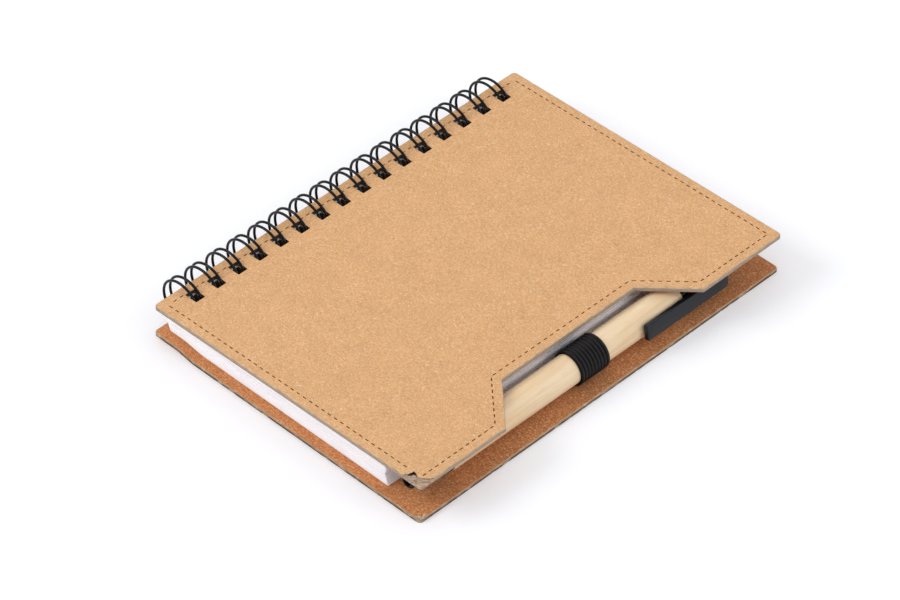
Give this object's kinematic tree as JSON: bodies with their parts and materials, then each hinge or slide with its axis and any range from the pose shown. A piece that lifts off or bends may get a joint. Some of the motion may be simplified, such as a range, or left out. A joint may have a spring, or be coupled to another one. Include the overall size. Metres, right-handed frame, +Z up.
{
  "type": "spiral notebook",
  "caption": "Spiral notebook with kraft board covers, a black closed-loop wire binding, a notched front cover and a click pen held in an elastic loop.",
  "frame": {"origin": "centre of the back cover's flat underside, on the table", "axes": "+X from the spine to the fore edge, +Y along the spine from the bottom edge to the top edge, +Z up through the front cover"},
  "size_m": [0.1178, 0.1494, 0.0161],
  "materials": {
    "kraft_board": "matte",
    "kraft_board_back": "matte",
    "leaves": "matte",
    "coated_wire": "gloss",
    "woven_elastic": "matte",
    "pale_wood": "satin",
    "black_plastic": "satin",
    "ink_tube": "gloss",
    "brass": "satin",
    "spring_steel": "satin"
  },
  "bodies": {
    "back": {"back_cover": "kraft_board_back", "wire_binding": "coated_wire", "elastic_loop": "woven_elastic"},
    "leaves": {"page_block": "leaves"},
    "front": {"front_cover": "kraft_board"},
    "pen": {"pen_barrel": "pale_wood", "pen_nose_cone": "black_plastic", "pen_clip_cap": "black_plastic", "refill_spring": "spring_steel"},
    "push": {"pen_button": "black_plastic", "click_cam": "black_plastic", "refill_tube": "ink_tube", "refill_tip": "brass"}
  },
  "joints": [
    {"name": "leaves_turn", "type": "hinge", "parent": "back", "child": "leaves", "pos_m": [-0.0538, 0, 0.00805], "axis": [0, -1, 0], "range_deg": [0, 180]},
    {"name": "front_cover_turn", "type": "hinge", "parent": "leaves", "child": "front", "pos_m": [-0.0538, 0, 0.00805], "axis": [0, -1, 0], "range_deg": [0, 180]},
    {"name": "pen_slide", "type": "slide", "parent": "back", "child": "pen", "axis": [0, 1, 0], "range_m": [-0.014, 0.078]},
    {"name": "button_press", "type": "slide", "parent": "pen", "child": "push", "axis": [0, -1, 0], "range_m": [0, 0.0045], "stiffness_N_per_m": 150, "springref_m": -0.003, "deforming": ["refill_spring"]}
  ]
}
